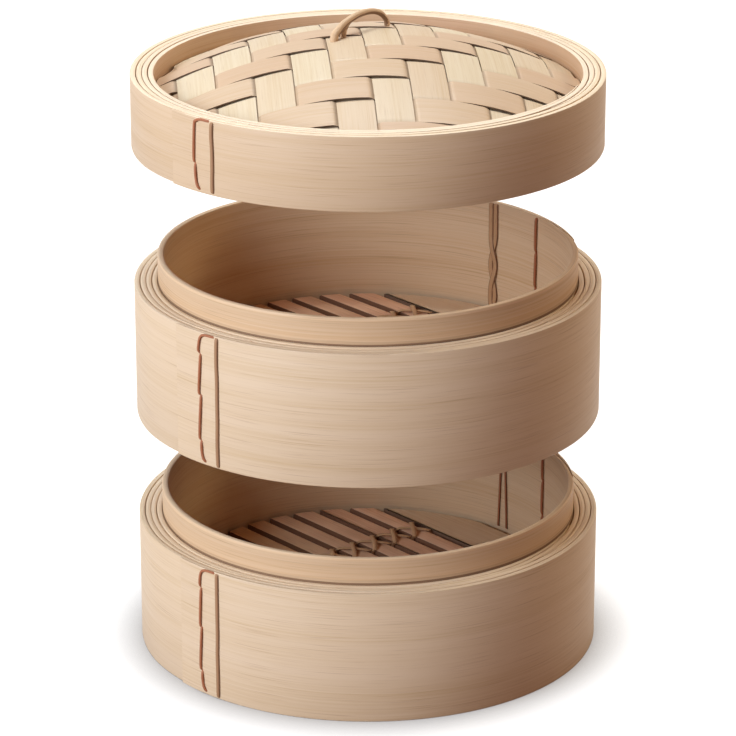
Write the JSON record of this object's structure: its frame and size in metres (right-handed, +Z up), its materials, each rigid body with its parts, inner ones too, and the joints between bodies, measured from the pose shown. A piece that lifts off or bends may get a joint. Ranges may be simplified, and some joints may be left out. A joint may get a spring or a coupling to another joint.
{
  "type": "bamboo steamer",
  "caption": "Round stacking bamboo steamer: slatted baskets with raised inner rims and a domed woven lid with a cane loop handle, shown lifted apart.",
  "frame": {"origin": "on the steamer's axis, at the bottom of the lower basket", "axes": "+Z up along the axis, -Y to the front, where the wall lashings lie front left"},
  "size_m": [0.2, 0.2, 0.2756],
  "materials": {
    "bamboo_wall": "planed bamboo strip, satin",
    "bamboo_hoop": "planed bamboo strip, satin",
    "bamboo_slat": "split bamboo, matt",
    "bamboo_pale": "split bamboo, satin",
    "rattan": "rattan cane, satin"
  },
  "bodies": {
    "lower_basket": {"lower_outer_wrap": "bamboo_wall", "lower_inner_wrap": "bamboo_wall", "lower_inner_hoop": "bamboo_hoop", "lower_floor_ledge": "bamboo_hoop", "lower_end_plank_front": "bamboo_pale", "lower_end_plank_back": "bamboo_pale", "lower_batten_back": "bamboo_slat", "lower_batten_front": "bamboo_slat", "lower_tie_back": "rattan", "lower_tie_front": "rattan", "lower_wall_lashing": "rattan", "lower_hoop_lashing": "rattan", "lower_hoop_stitch": "rattan", "lower_slat_1": "bamboo_slat", "lower_slat_2": "bamboo_slat", "lower_slat_3": "bamboo_slat", "lower_slat_4": "bamboo_slat", "lower_slat_5": "bamboo_slat", "lower_slat_6": "bamboo_slat", "lower_slat_7": "bamboo_slat", "lower_slat_8": "bamboo_slat", "lower_slat_9": "bamboo_slat", "lower_slat_10": "bamboo_slat"},
    "upper_basket": {"upper_outer_wrap": "bamboo_wall", "upper_inner_wrap": "bamboo_wall", "upper_inner_hoop": "bamboo_hoop", "upper_floor_ledge": "bamboo_hoop", "upper_end_plank_front": "bamboo_pale", "upper_end_plank_back": "bamboo_pale", "upper_batten_back": "bamboo_slat", "upper_batten_front": "bamboo_slat", "upper_tie_back": "rattan", "upper_tie_front": "rattan", "upper_wall_lashing": "rattan", "upper_hoop_lashing": "rattan", "upper_hoop_stitch": "rattan", "upper_slat_1": "bamboo_slat", "upper_slat_2": "bamboo_slat", "upper_slat_3": "bamboo_slat", "upper_slat_4": "bamboo_slat", "upper_slat_5": "bamboo_slat", "upper_slat_6": "bamboo_slat", "upper_slat_7": "bamboo_slat", "upper_slat_8": "bamboo_slat", "upper_slat_9": "bamboo_slat", "upper_slat_10": "bamboo_slat"},
    "lid": {"lid_outer_wrap": "bamboo_wall", "lid_inner_wrap": "bamboo_wall", "lid_hoop": "bamboo_hoop", "lid_woven_top": "bamboo_pale", "lid_woven_lining": "bamboo_pale", "lid_handle": "rattan", "lid_wall_lashing": "rattan"}
  },
  "joints": [
    {"name": "upper_basket_lift", "type": "slide", "parent": "lower_basket", "child": "upper_basket", "axis": [0, 0, 1], "range_m": [-0.047, 0]},
    {"name": "lid_lift", "type": "slide", "parent": "upper_basket", "child": "lid", "axis": [0, 0, 1], "range_m": [-0.06, 0]}
  ]
}
